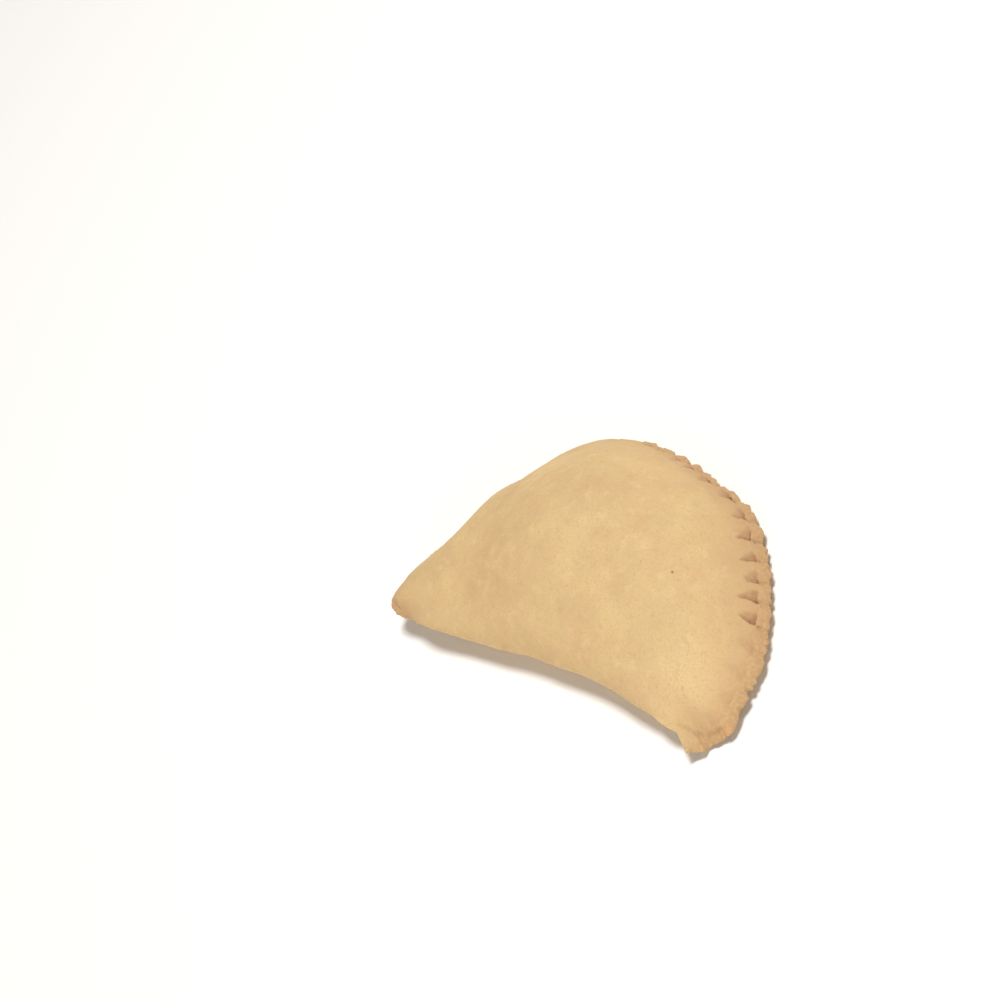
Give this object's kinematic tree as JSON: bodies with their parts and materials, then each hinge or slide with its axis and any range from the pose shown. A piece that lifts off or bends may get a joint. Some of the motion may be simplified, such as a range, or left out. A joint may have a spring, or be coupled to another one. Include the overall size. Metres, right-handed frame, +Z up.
{
  "type": "mini panzerotto",
  "caption": "Half-moon pastry: a disc of pale dough folded over its filling, closed round the arc by a crimped rim that slopes down outwards.",
  "frame": {"origin": "middle of the bounding box in X and Y, at the height of the table it rests on", "axes": "+X along the fold from the left tip to the right tip with its squared end, +Y from the fold to the top of the crimped arc, +Z up from the flat underside to the belly's crown"},
  "size_m": [0.0946, 0.057, 0.0219],
  "materials": {
    "dough": "matte, dry, pale baked dough"
  },
  "bodies": {
    "root": {"panzerotto": "dough"}
  },
  "joints": []
}
